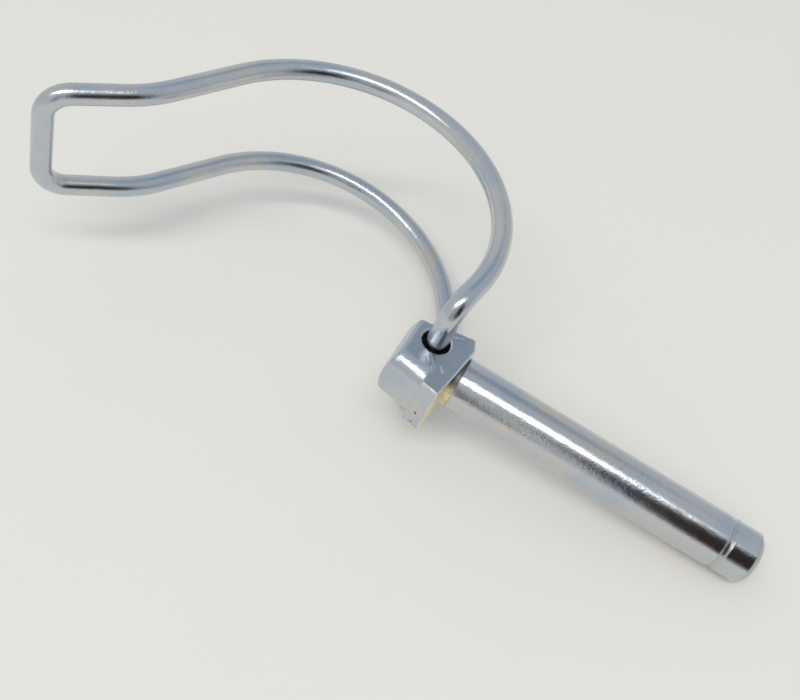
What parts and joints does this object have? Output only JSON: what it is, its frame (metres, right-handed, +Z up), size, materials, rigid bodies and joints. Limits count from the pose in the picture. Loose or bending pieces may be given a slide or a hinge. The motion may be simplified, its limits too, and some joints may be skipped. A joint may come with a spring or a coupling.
{
  "type": "lynch pin",
  "caption": "Lynch pin for a cross hole: round steel shaft with a block head and a bowed wire bail that swings over the tip to keep the pin in place.",
  "frame": {"origin": "on the axis of the shaft, where it leaves the shoulder of the head", "axes": "+X along the shaft towards its tip as seen from above, +Y towards the bow of the bail, +Z up from the surface the part lies on"},
  "size_m": [0.1485, 0.056, 0.045],
  "materials": {
    "plated_pin": "bright zinc plate",
    "plated_wire": "bright zinc plate"
  },
  "bodies": {
    "bail": {"bail": "plated_wire"},
    "pin": {"pin": "plated_pin"}
  },
  "joints": [
    {"name": "bail_swing", "type": "hinge", "parent": "bail", "child": "pin", "pos_m": [-0.00687, 0.00078, 0.00134], "axis": [0.1877, -0.0297, 0.9818], "continuous": true}
  ]
}
